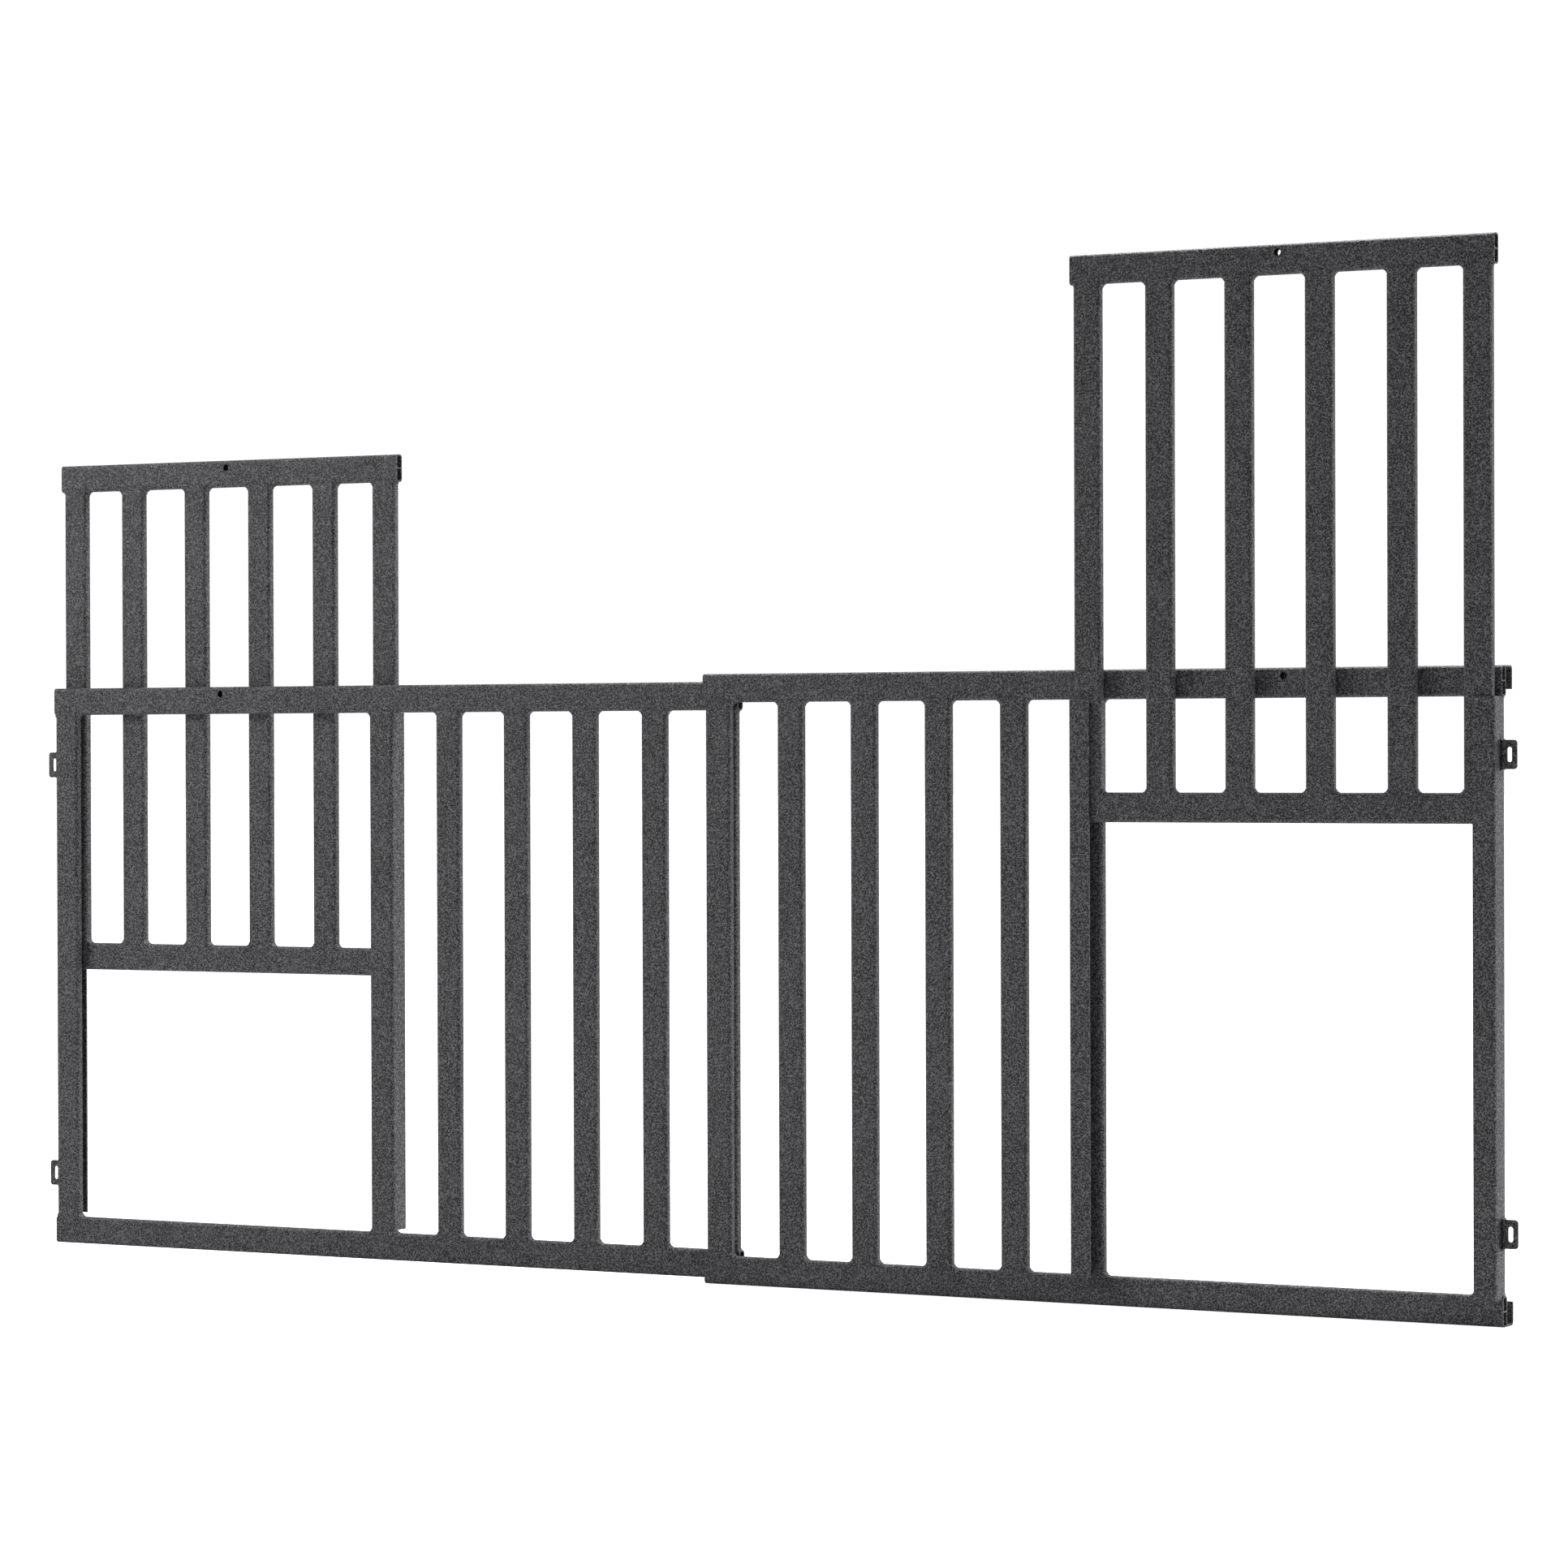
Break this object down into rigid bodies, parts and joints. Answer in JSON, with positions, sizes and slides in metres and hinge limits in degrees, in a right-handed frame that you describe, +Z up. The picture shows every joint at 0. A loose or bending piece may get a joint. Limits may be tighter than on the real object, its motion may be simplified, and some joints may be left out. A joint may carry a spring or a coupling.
{
  "type": "livestock panel gate",
  "caption": "Extending barred livestock gate: two telescoping flat-tube panels, each with a doorway, guide channels and a barred door that lifts, and slotted tabs for fixing to walls.",
  "frame": {"origin": "centre of the bounding box at the underside of the right panel's bottom rail", "axes": "+X along the gate from the left wall to the right wall, +Y from the front (the side of the right door) to the rear, +Z up"},
  "size_m": [1.895, 0.059, 1.125],
  "materials": {
    "panel_coat": "hammertone powder coat, satin, on extruded aluminium",
    "door_coat": "hammertone powder coat, satin, on extruded aluminium"
  },
  "bodies": {
    "right_panel": {"right_top_rail": "panel_coat", "right_bottom_rail": "panel_coat", "right_wall_post": "panel_coat", "right_jamb_post": "panel_coat", "right_end_post": "panel_coat", "right_bar_1": "panel_coat", "right_bar_2": "panel_coat", "right_bar_3": "panel_coat", "right_bar_4": "panel_coat", "right_tab_upper": "panel_coat", "right_tab_lower": "panel_coat"},
    "left_panel": {"left_top_rail": "panel_coat", "left_bottom_rail": "panel_coat", "left_wall_post": "panel_coat", "left_jamb_post": "panel_coat", "left_end_post": "panel_coat", "left_bar_1": "panel_coat", "left_bar_2": "panel_coat", "left_bar_3": "panel_coat", "left_bar_4": "panel_coat", "left_tab_upper": "panel_coat", "left_tab_lower": "panel_coat"},
    "left_door": {"left_door_top_rail": "door_coat", "left_door_bottom_rail": "door_coat", "left_door_left_stile": "door_coat", "left_door_right_stile": "door_coat", "left_door_bar_1": "door_coat", "left_door_bar_2": "door_coat", "left_door_bar_3": "door_coat", "left_door_bar_4": "door_coat"},
    "right_door": {"right_door_top_rail": "door_coat", "right_door_bottom_rail": "door_coat", "right_door_left_stile": "door_coat", "right_door_right_stile": "door_coat", "right_door_bar_1": "door_coat", "right_door_bar_2": "door_coat", "right_door_bar_3": "door_coat", "right_door_bar_4": "door_coat"}
  },
  "joints": [
    {"name": "panel_slide", "type": "slide", "parent": "right_panel", "child": "left_panel", "axis": [1, 0, 0], "range_m": [0, 0.415]},
    {"name": "left_door_lift", "type": "slide", "parent": "left_panel", "child": "left_door", "axis": [0, 0, 1], "range_m": [-0.2685, 0.2665]},
    {"name": "right_door_lift", "type": "slide", "parent": "right_panel", "child": "right_door", "axis": [0, 0, 1], "range_m": [-0.4435, 0.0915]}
  ]
}
